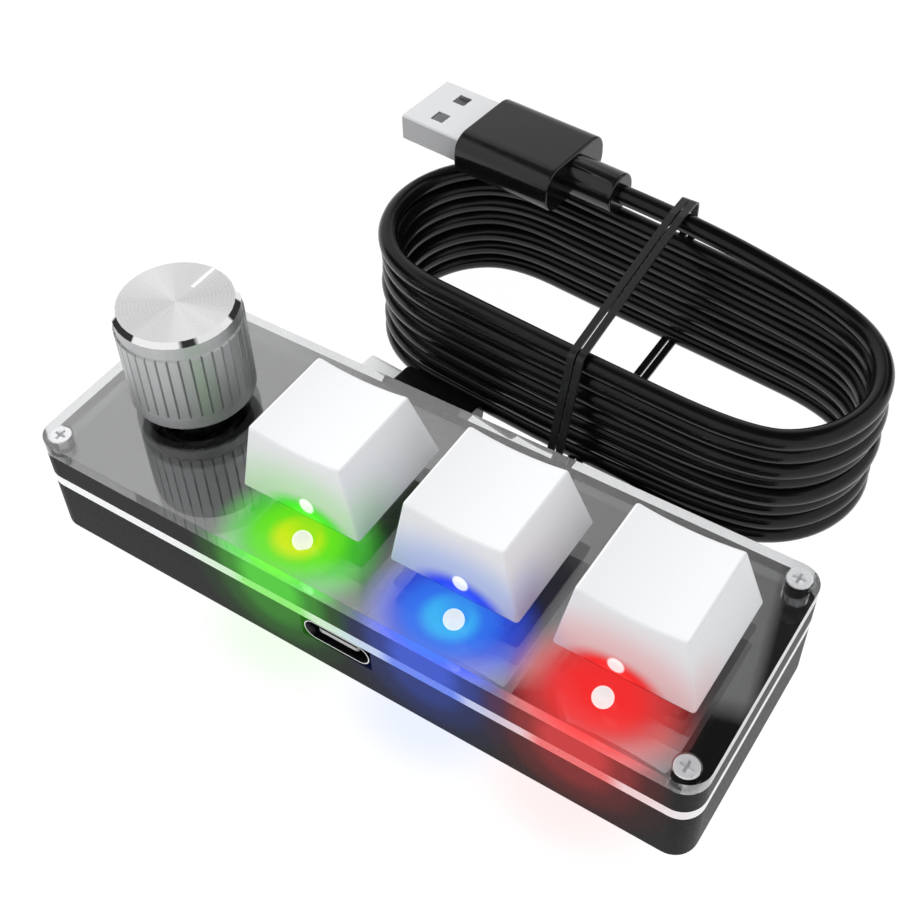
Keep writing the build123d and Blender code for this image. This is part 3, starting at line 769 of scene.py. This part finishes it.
def cross_screw(place):
    """Round head with a softened rim and a cross recess, on its shank."""
    head = disc("screw", 1.55, SCREW_SEAT, COVER_TOP, *place, 48)
    sink(head, -1, 0.55, -12.0)
    soften(head, 0.1, 3)
    length, width, depth = 1.8, 0.42, 0.8
    heights = (COVER_TOP - depth, COVER_TOP + 0.5)
    cross = rounded_slab("recess", length, width, 0.08, *heights, *place, 3)
    merge(cross, rounded_slab("recess_bar", width, length, 0.08, *heights, *place, 3))
    cut(head, cross)
    smooth(head)
    return head


screws = join(*[cross_screw(place) for place in SCREW_PLACES])
screw_steel = bright_metal("screw_steel", (0.9, 0.9, 0.905), (0.25, 0.35), 0.35)
dress(screws, "case", "screw_steel", screw_steel, replaces=["cover_screws"])


# Keys

# A cap's square skirt, the length and width of its top, its heights and how far its top leans forward
CAP_BASE, CAP_LENGTH, CAP_WIDTH = 18.4, 14.0, 14.7
CAP_LOW, CAP_HIGH = 20.1, 31.5
CAP_LEAN = 1.33
# Depth of the dish at shares of the way from the cap's middle to its side
DISH = ((0, 0.7), (0.25, 0.66), (0.5, 0.53), (0.75, 0.31))


def cap_block(number, x):
    """Leaning, tapered block, split into strips for the dish."""
    height = CAP_HIGH - CAP_LOW
    bpy.ops.object.select_all(action="DESELECT")
    bpy.ops.mesh.primitive_cube_add(size=1, location=(x * MM, KEY_Y * MM, (CAP_LOW + height / 2) * MM))
    bpy.context.object.scale = (CAP_BASE * MM, CAP_BASE * MM, height * MM)
    cap = adopt(f"keycap_skin_{number}")
    taper(cap, 1, CAP_LENGTH / CAP_BASE, CAP_WIDTH / CAP_BASE, x, KEY_Y)
    edit(cap)
    pick(cap, "FACE", lambda p, n: n.z > 0.9)
    move(0, -CAP_LEAN, 0)
    for share in (-0.75, -0.5, -0.25, 0, 0.25, 0.5, 0.75):
        offset = share * CAP_LENGTH / 2
        slope = offset * (CAP_BASE / CAP_LENGTH - 1) / height
        bpy.ops.mesh.select_all(action="SELECT")
        bpy.ops.mesh.bisect(plane_co=((x + offset) * MM, 0, CAP_HIGH * MM), plane_no=(1, 0, slope))
    leave()
    return cap


def shape_cap(cap, x):
    """Dishes the top and rounds the corners and the top's edges. The bottom stays sharp."""
    edit(cap)
    pick(cap, "FACE", lambda p, n: n.z < -0.9)
    bpy.ops.mesh.delete(type="FACE")
    for share, drop in DISH:
        offset = share * CAP_LENGTH / 2
        pick(cap, "VERT", lambda p, n: p.z > CAP_HIGH - 0.1 and abs(abs(p.x - x) - offset) < 0.05)
        move(0, 0, -drop)
    pick(cap, "EDGE", lambda p, d: abs(d.z) > 0.8 and abs(p.x - x) > 7.4)
    bpy.ops.mesh.bevel(offset=0.5 * MM, segments=5, affect="EDGES")
    leave()
    round_edges(cap, 0.4, 4, 45)
    edit(cap)
    bpy.ops.mesh.select_mode(type="EDGE")
    bpy.ops.mesh.select_all(action="DESELECT")
    bpy.ops.mesh.select_non_manifold()
    bpy.ops.mesh.edge_face_add()
    leave()
    outward(cap)


def cap_room(x):
    """Tapered room inside a cap, leaning like the cap."""
    room = rounded_slab("room", 15.6, 15.6, 0.8, CAP_LOW - 0.5, 29.2, x, KEY_Y, 4)
    taper(room, 1, 0.73, 0.775, x, KEY_Y)
    edit(room)
    pick(room, "FACE", lambda p, n: n.z > 0.9)
    move(0, -1.06, 0)
    leave()
    return room


def cap_post(x):
    """Round post with the cross slot that takes the switch's stem."""
    post = disc("post", 2.75, CAP_LOW + 0.5, 29.6, x, KEY_Y, 40)
    for length, width in ((4.1, 1.3), (1.3, 4.1)):
        cut(post, rounded_slab("slot", length, width, 0.05, 20.0, 24.6, x, KEY_Y, 2))
    return post


def keycap(number, x):
    """Sculpted cap: steep front, sloped back, dished top and rounded edges, hollow below."""
    cap = cap_block(number, x)
    shape_cap(cap, x)
    cut(cap, cap_room(x))
    merge(cap, cap_post(x))
    round_edges(cap, 0.12, 2, 60)
    edit(cap)
    bpy.ops.mesh.select_all(action="SELECT")
    bpy.ops.mesh.dissolve_degenerate(threshold=WELD)
    leave()
    smooth(cap, 40)
    return cap


for number, (x, spot) in enumerate(zip(KEYS, PAINTED_SPOTS), start=1):
    white = cap_white(number, spot)
    dress(keycap(number, x), f"key_{number}", "cap_white", white, replaces=[f"keycap_{number}"])


# Knob

KNOB_AXIS = Vector((*KNOB, 0)) * MM
KNOB_RADIUS, KNOB_BORE, KNOB_ROOF = 8.73, 7.3, 33.0
GROOVES = 36


def turned(profile, name, sides):
    """Turns a profile of (radius, height) points round the knob's axis."""
    bpy.ops.object.select_all(action="DESELECT")
    bpy.ops.mesh.primitive_plane_add(size=0.001, location=(0, 0, 0))
    piece = adopt(name)
    edit(piece)
    bpy.ops.mesh.select_mode(type="VERT")
    bpy.ops.mesh.select_all(action="SELECT")
    bpy.ops.mesh.merge(type="CENTER")
    bpy.ops.mesh.select_all(action="SELECT")
    here = Vector()
    for number, (radius, height) in enumerate(profile):
        place = KNOB_AXIS + Vector((radius, 0, height)) * MM
        if number == 0:
            bpy.ops.transform.translate(value=place - here)
        else:
            bpy.ops.mesh.extrude_vertices_move(TRANSFORM_OT_translate={"value": place - here})
        here = place
    bpy.ops.mesh.select_all(action="SELECT")
    bpy.ops.mesh.spin(steps=sides, angle=2 * math.pi, center=KNOB_AXIS, axis=(0, 0, 1))
    bpy.ops.mesh.select_all(action="SELECT")
    bpy.ops.mesh.remove_doubles(threshold=WELD)
    bpy.ops.mesh.normals_make_consistent(inside=False)
    leave()
    return piece


def grooved_knob():
    """Knob with flat lands between grooves, a plain collar, a polished chamfer and a brushed top."""
    inside = [(KNOB_BORE, KNOB_ROOF), (KNOB_BORE, 19.75), (7.45, 19.55), (8.5, 19.55)]
    side = [(KNOB_RADIUS, height) for height in (19.78, 21.3, 21.7, 32.05)]
    collar = [(8.5, 32.3), (8.5, 34.22), (7.85, KNOB_TOP), (0.0, KNOB_TOP)]
    roof = [(0.0, KNOB_ROOF), (KNOB_BORE, KNOB_ROOF)]
    knob = turned(inside + side + collar + roof, "knob_turned", GROOVES)
    between_grooves = 360 / GROOVES

    def groove_line(p, d):
        return abs(d.z) > 0.99 and 26 < p.z < 28 and math.dist(p.xy, KNOB) > 8

    def groove_bottom(p, n):
        angle = math.degrees(math.atan2(p.y - KNOB[1], p.x - KNOB[0])) % between_grooves
        on_line = min(angle, between_grooves - angle) < 0.2
        return on_line and 21.5 < p.z < 32.2 and math.dist(p.xy, KNOB) > 8.55

    edit(knob)
    pick(knob, "EDGE", groove_line)
    bpy.ops.mesh.bevel(offset=0.17 * MM, segments=2, affect="EDGES")
    pick(knob, "VERT", groove_bottom)
    bpy.ops.transform.resize(value=(0.962, 0.962, 1), center_override=KNOB_AXIS)
    leave()
    smooth(knob, 30)
    return knob


def pointer_line():
    """White line in the knob's top, from near its middle to the rim."""
    line = rounded_slab("pointer_line", 0.5, 4.4, 0.1, 34.5, 34.9, KNOB[0] + 0.1, KNOB[1] + 5.55, 3)
    soften(line, 0.04, 2)
    return line


def knob_materials(knob):
    """Brushed top and polished chamfer, by each face's direction. The rest keeps the side's finish."""
    chamfer_low = 34.1 * MM
    for face in knob.data.polygons:
        if face.center.z > chamfer_low and face.normal.z > 0.95:
            face.material_index = 2
        elif face.center.z > chamfer_low and face.normal.z > 0.3:
            face.material_index = 1


knob_chamfer = bright_metal("knob_chamfer", (0.97, 0.97, 0.97), (0.02, 0.04))
knob = dress(
    grooved_knob(), "knob", "knob_aluminium", turned_aluminium("knob_side"), knob_chamfer, brushed_top(),
    replaces=["knob_body"],
)
knob_materials(knob)
pointer_white = plain_plastic("pointer_white", (0.9, 0.9, 0.9), (0.4, 0.5))
pointer_shader = pointer_white.node_tree.nodes["Principled BSDF"]
# Painted light: the pointer line glows faintly white
pointer_shader.inputs["Emission Color"].default_value = (1, 1, 1, 1)
pointer_shader.inputs["Emission Strength"].default_value = 0.3
dress(pointer_line(), "knob", "pointer_white", pointer_white, replaces=["knob_pointer"])


# Lamps

COLLAR_LOW, COLLAR_TOP, COLLAR_RADIUS = 12.9, 13.3, 2.1


def lamp(number, x):
    """Round lens on a neck, with a collar that fills the hole round it and shows the lamps' painted light,
    a rim and two leads.
    """
    body = disc(f"lamp_lens_{number}", 1.35, 10.7, 12.8, x, LAMP_Y, 40)
    bpy.ops.mesh.primitive_uv_sphere_add(
        segments=40, ring_count=20, radius=1.36 * MM, location=(x * MM, LAMP_Y * MM, 13.92 * MM),
    )
    merge(body, adopt("dome"))
    merge(body, disc("rim", 1.9, 9.9, 10.9, x, LAMP_Y, 32))
    merge(body, disc("collar", COLLAR_RADIUS, COLLAR_LOW, COLLAR_TOP, x, LAMP_Y, 40))
    for side in (-1, 1):
        merge(body, rounded_slab("lead", 0.5, 0.5, 0.1, 3.9, 10.2, x + side * 1.27, LAMP_Y, 2))
    smooth(body)
    return body


def light_collar(piece, x):
    """Second finish, the lamps' painted light, on the collar's flat faces and on its edge."""
    for face in piece.data.polygons:
        place = face.center / MM
        outer = math.dist(place.xy, (x, LAMP_Y)) > COLLAR_RADIUS - 0.1
        level = COLLAR_LOW - 0.1 < place.z < COLLAR_TOP + 0.1
        face.material_index = 1 if level and (outer or abs(face.normal.z) > 0.999) else 0


# Slot, colour of the lens and colour of its light
LENSES = (
    ("lamp_green", (0.10, 0.14, 0.08), (0.98, 1.0, 0.85)),
    ("lamp_blue", (0.08, 0.10, 0.14), (0.88, 0.95, 1.0)),
    ("lamp_red", (0.14, 0.08, 0.08), (1.0, 0.95, 0.93)),
)
for number, (x, (slot, colour, core)) in enumerate(zip(LAMPS, LENSES), start=1):
    lens = lamp_lens(f"lens_{slot}", colour, core)
    bulb = dress(lamp(number, x), "case", slot, lens, lit_wall, replaces=[f"lamp_{number}"])
    light_collar(bulb, x)


# Plugs, tie and port

def fit_tie(tie):
    """Draws the tie's near side on to the turns as they lie here."""
    def across(p):
        x, y = p.x - HANK_MIDDLE[0], p.y - HANK_MIDDLE[1]
        return y * math.cos(HANK_TURN) - x * math.sin(HANK_TURN)

    edit(tie)
    pick(tie, "VERT", lambda p, n: across(p) < -12 and p.z > 15)
    move(0, 0, -2.1)
    pick(tie, "VERT", lambda p, n: across(p) < -15)
    move(0, -0.4, 0)
    leave()


def paint_shade_on_sides(piece, material):
    """Second finish, a darker copy that paints shade, on the upright faces."""
    piece.data.materials.append(material)
    for face in piece.data.polygons:
        face.material_index = 1 if abs(face.normal.z) < 0.3 else 0


def bright_front(piece, border):
    """Second finish on the piece's front, inside a border."""
    front = min(vertex.co.y for vertex in piece.data.vertices) / MM
    edit(piece)
    pick(piece, "FACE", lambda p, n: n.y < -0.7 and p.y < front + 0.8)
    if border:
        bpy.ops.mesh.inset(thickness=border * MM)
    piece.active_material_index = 1
    bpy.ops.object.material_slot_assign()
    leave()


plug_black = plain_plastic("plug_black", (0.006, 0.006, 0.0065), (0.14, 0.22), 900)
plug_nickel = bright_metal("plug_nickel", (0.72, 0.72, 0.725), (0.3, 0.4), 0.15)
# Painted light: a paler copy of the nickel for the small plug's shell, which lies in shade
nickel_painted_light = bright_metal("nickel_painted_light", (0.93, 0.93, 0.93), (0.3, 0.4), 0.1)
plug_carrier = plain_plastic("plug_carrier", (0.75, 0.75, 0.76), (0.4, 0.5))
tie_black = plain_plastic("tie_black", (0.012, 0.012, 0.012), (0.3, 0.45))
# Painted shade: a darker copy of the plug's nickel for its upright faces
nickel_painted_shade = bright_metal("nickel_painted_shade", (0.45, 0.45, 0.455), (0.3, 0.4), 0.15)
ON_THE_CABLE = {
    "usb_a_shell": ("large_plug_shell", "plug_steel", plug_nickel),
    "usb_a_tongue": ("large_plug_carrier", "plug_white", plug_carrier),
    "usb_a_grip": ("large_plug_grip", "plug_black", plug_black),
    "usb_a_relief": ("large_plug_relief", "plug_black", plug_black),
    "usb_c_shell": ("small_plug_shell", "plug_steel", nickel_painted_light),
    "usb_c_grip": ("small_plug_grip", "plug_black", plug_black),
    "usb_c_relief": ("small_plug_relief", "plug_black", plug_black),
    "cable_tie": ("tie_strips", "tie_black", tie_black),
}
on_cable = [
    dress(smooth_copy(node, name), "case", slot, material, replaces=[node])
    for node, (name, slot, material) in ON_THE_CABLE.items()
]
large_plug_shell, *_, tie_strips = on_cable
paint_shade_on_sides(large_plug_shell, nickel_painted_shade)
fit_tie(tie_strips)

# Painted shade: the port shell's inside is near-black, for the shade in the opening; its front rim stays
# bright steel
port_inside_painted_shade = bright_metal("port_inside_painted_shade", (0.03, 0.03, 0.035), (0.3, 0.4))
port_rim = bright_metal("port_rim", (0.85, 0.85, 0.85), (0.15, 0.25))
tongue_side = plain_plastic("tongue_side", (0.02, 0.02, 0.02), (0.4, 0.5))
# Painted light: the tongue's front is a pale grey copy of its black plastic
tongue_front_painted_light = plain_plastic("tongue_front_painted_light", (0.55, 0.55, 0.55), (0.3, 0.4))
port = dress(
    smooth_copy("usb_port_shell", "port_shell"), "case", "port_steel", port_inside_painted_shade, port_rim,
    replaces=["usb_port_shell"],
)
bright_front(port, 0.075)
tongue = dress(
    smooth_copy("usb_port_tongue", "port_tongue"), "case", "port_black", tongue_side, tongue_front_painted_light,
    replaces=["usb_port_tongue"],
)
bright_front(tongue, 0)


# Remaining solids keep their shape and get a finish

steel = bright_metal("bright_steel", (0.72, 0.72, 0.73), (0.2, 0.32))
contact_metal = bright_metal("contact_metal", (0.8, 0.68, 0.42), (0.2, 0.3))
switch_black = plain_plastic("switch_black", (0.018, 0.018, 0.02), (0.35, 0.5))
stem_grey = plain_plastic("stem_grey", (0.04, 0.04, 0.042), (0.35, 0.5))
FINISHES = {
    "rubber_feet": plain_plastic("foot_rubber", (0.02, 0.02, 0.02), (0.7, 0.85), 1500, 0.03 * MM),
    "switch_plate": white_sheet(),
    "circuit_board": plain_plastic("board_mask", (0.01, 0.06, 0.03), (0.3, 0.45)),
    "controller_chip": plain_plastic("chip_package", (0.02, 0.02, 0.02), (0.5, 0.65)),
    "encoder_body": plain_plastic("encoder_moulding", (0.03, 0.03, 0.035), (0.4, 0.55)),
    "encoder_pins": contact_metal,
    "encoder_push_dome": steel,
    "encoder_bushing": turned_aluminium("bushing_metal"),
    "encoder_washer": steel,
    "encoder_nut": steel,
    "encoder_plunger": plain_plastic("plunger_plastic", (0.05, 0.05, 0.05), (0.4, 0.5)),
    "encoder_shaft": turned_aluminium("shaft_metal"),
    "knob_insert": plain_plastic("insert_black", (0.015, 0.015, 0.015), (0.4, 0.55)),
}
for number in (1, 2, 3):
    FINISHES[f"switch_stem_{number}"] = stem_grey
    FINISHES[f"switch_spring_{number}"] = steel
    FINISHES[f"switch_base_{number}"] = switch_black
    FINISHES[f"switch_top_{number}"] = switch_black
    FINISHES[f"switch_contacts_{number}"] = contact_metal
for name, material in FINISHES.items():
    nodes[name].data.materials.clear()
    nodes[name].data.materials.append(material)
cable.data.materials.append(cable_jacket())


# Floor and light

def combine(tree, kind, first, second):
    """Two values put together by one kind of sum."""
    node = tree.nodes.new("ShaderNodeMath")
    node.operation = kind
    tree.links.new(first, node.inputs[0])
    tree.links.new(second, node.inputs[1])
    return node.outputs["Value"]


def along(tree, way, direction):
    """How far a way points in a direction, from -1 to 1."""
    dot = tree.nodes.new("ShaderNodeVectorMath")
    dot.operation = "DOT_PRODUCT"
    dot.inputs[1].default_value = direction
    tree.links.new(way, dot.inputs[0])
    return dot.outputs["Value"]


def mixed(tree, share, first, second):
    blend = tree.nodes.new("ShaderNodeMixShader")
    tree.links.new(share, blend.inputs["Fac"])
    tree.links.new(first, blend.inputs[1])
    tree.links.new(second, blend.inputs[2])
    return blend.outputs["Shader"]


def white_floor():
    """White surface that stays white to the eye, keeps a faint shadow and has the lamps' coloured light
    painted on in front of the case.
    """
    bpy.ops.object.select_all(action="DESELECT")
    bpy.ops.mesh.primitive_plane_add(size=6, location=(0, 0, -0.2 * MM))
    floor = adopt("floor")
    material, tree, shader = finish_named("white_floor")
    shader.inputs["Base Color"].default_value = (0.9, 0.9, 0.9, 1)
    shader.inputs["Roughness"].default_value = 0.9
    seen = tree.nodes.new("ShaderNodeLightPath")
    glow = tree.nodes.new("ShaderNodeEmission")
    # Painted light: each lamp's coloured light on the floor in front of the case
    fronts = [(x - 1, -17.0, 0) for x in LAMPS]
    rings = []
    for place, (core, pale) in zip(fronts, LAMP_LIGHT_TINTS):
        light = tuple(0.55 + 0.45 * part for part in pale)
        rings.append(lamp_rings(tree, place, (1.5, 1, 1), 10.0, [(0, light), (0.2, light), (1, WHITE)]))
    tree.links.new(blended(tree, rings, "MULTIPLY"), glow.inputs["Color"])
    glow.inputs["Strength"].default_value = 1.06
    camera_ray, through_ray, mirror_ray = [
        seen.outputs[f"Is {kind} Ray"] for kind in ("Camera", "Transmission", "Glossy")
    ]
    either = combine(tree, "MAXIMUM", combine(tree, "MAXIMUM", camera_ray, through_ray), mirror_ray)
    # The rest of the share takes the shadow
    share = tree.nodes.new("ShaderNodeMath")
    share.operation = "MULTIPLY"
    share.inputs[1].default_value = 0.93
    tree.links.new(either, share.inputs[0])
    surface = mixed(tree, share.outputs["Value"], shader.outputs["BSDF"], glow.outputs["Emission"])
    tree.links.new(surface, tree.nodes["Material Output"].inputs["Surface"])
    floor.data.materials.append(material)


# Dark flags that the mirrors see: direction and half width in degrees
FLAGS = (((-0.88, -0.40, 0.25), 24), ((0.55, -0.38, 0.74), 11), ((0.33, 0.88, 0.30), 18))


def mirrored_strength(tree):
    """Brightness that mirrors see: a white wall behind that fades to the right, a bright front and
    a bright low band, a dark ceiling, a dark patch behind at the right and the dark flags."""
    way = tree.nodes.new("ShaderNodeTexCoord").outputs["Generated"]
    parts = tree.nodes.new("ShaderNodeSeparateXYZ")
    tree.links.new(way, parts.inputs["Vector"])
    back, up = parts.outputs["Y"], parts.outputs["Z"]
    right = along(tree, way, (0.974, 0.225, 0))

    def times(first, second):
        return combine(tree, "MULTIPLY", first, second)

    def brighter(first, second):
        return combine(tree, "MAXIMUM", first, second)

    wall = between(tree, right, 1.05, 0.42, -0.42, 0.0)
    front = times(between(tree, back, 1.1, 0.0, -0.3, 0.0), between(tree, up, 1.0, 0.0, 0.74, 0.76))
    right_wall = between(tree, right, 0.0, 1.0, 0.25, 0.35)
    low_band = between(tree, up, 1.05, 0.0, 0.57, 0.67)
    wall = brighter(brighter(wall, front), brighter(low_band, right_wall))
    below_ceiling = between(tree, up, 1.0, 0.05, 0.835, 0.845)
    high = between(tree, up, 0.0, 1.0, 0.6, 0.7)
    off_middle = between(tree, right, 0.0, 0.9, -0.005, 0.005)
    patch = times(off_middle, between(tree, right, 1.0, 0.0, 0.25, 0.35))
    patch = times(times(high, patch), between(tree, back, 0.0, 1.0, 0.0, 0.1))
    lit = between(tree, patch, 1.0, 0.0, 0.0, 1.0)
    for flag, half_width in FLAGS:
        edge = math.cos(math.radians(half_width))
        toward = along(tree, way, Vector(flag).normalized())
        lit = times(lit, between(tree, toward, 1.0, 0.04, edge - 0.01, edge + 0.01))
    return times(times(wall, below_ceiling), lit)


def studio_world():
    """Soft white surround for light, a studio for mirrors and plain white for the camera."""
    world = bpy.data.worlds.new("studio")
    scene.world = world
    world.use_nodes = True
    tree = world.node_tree
    soft = tree.nodes["Background"]
    soft.inputs["Color"].default_value = (0.95, 0.97, 1.0, 1)
    soft.inputs["Strength"].default_value = 0.49
    studio = tree.nodes.new("ShaderNodeBackground")
    tree.links.new(mirrored_strength(tree), studio.inputs["Strength"])
    white = tree.nodes.new("ShaderNodeBackground")
    white.inputs["Color"].default_value = (1, 1, 1, 1)
    seen = tree.nodes.new("ShaderNodeLightPath").outputs
    by_mirror = combine(tree, "MAXIMUM", seen["Is Glossy Ray"], seen["Is Transmission Ray"])
    unseen = mixed(tree, by_mirror, soft.outputs["Background"], studio.outputs["Background"])
    surface = mixed(tree, seen["Is Camera Ray"], unseen, white.outputs["Background"])
    tree.links.new(surface, tree.nodes["World Output"].inputs["Surface"])


def softbox(name, place, size, power):
    """Square area lamp aimed at the keypad, out of the mirrors' sight."""
    light = bpy.data.lights.new(name, "AREA")
    light.shape = "RECTANGLE"
    light.size, light.size_y = size, size
    light.energy = power
    holder = bpy.data.objects.new(name, light)
    scene.collection.objects.link(holder)
    holder.location = place
    holder.visible_glossy = False
    holder.visible_transmission = False
    toward = Vector((0, 0, 0.02)) - Vector(place)
    holder.rotation_euler = toward.to_track_quat("-Z", "Y").to_euler()


white_floor()
studio_world()
softbox("softbox_left", (-0.45, -0.35, 0.45), size=0.28, power=1.6)
softbox("softbox_back", (-0.35, 0.38, 0.55), size=0.45, power=2.6)
softbox("softbox_right", (0.5, -0.08, 0.22), size=0.35, power=0.5)

bpy.context.view_layer.update()
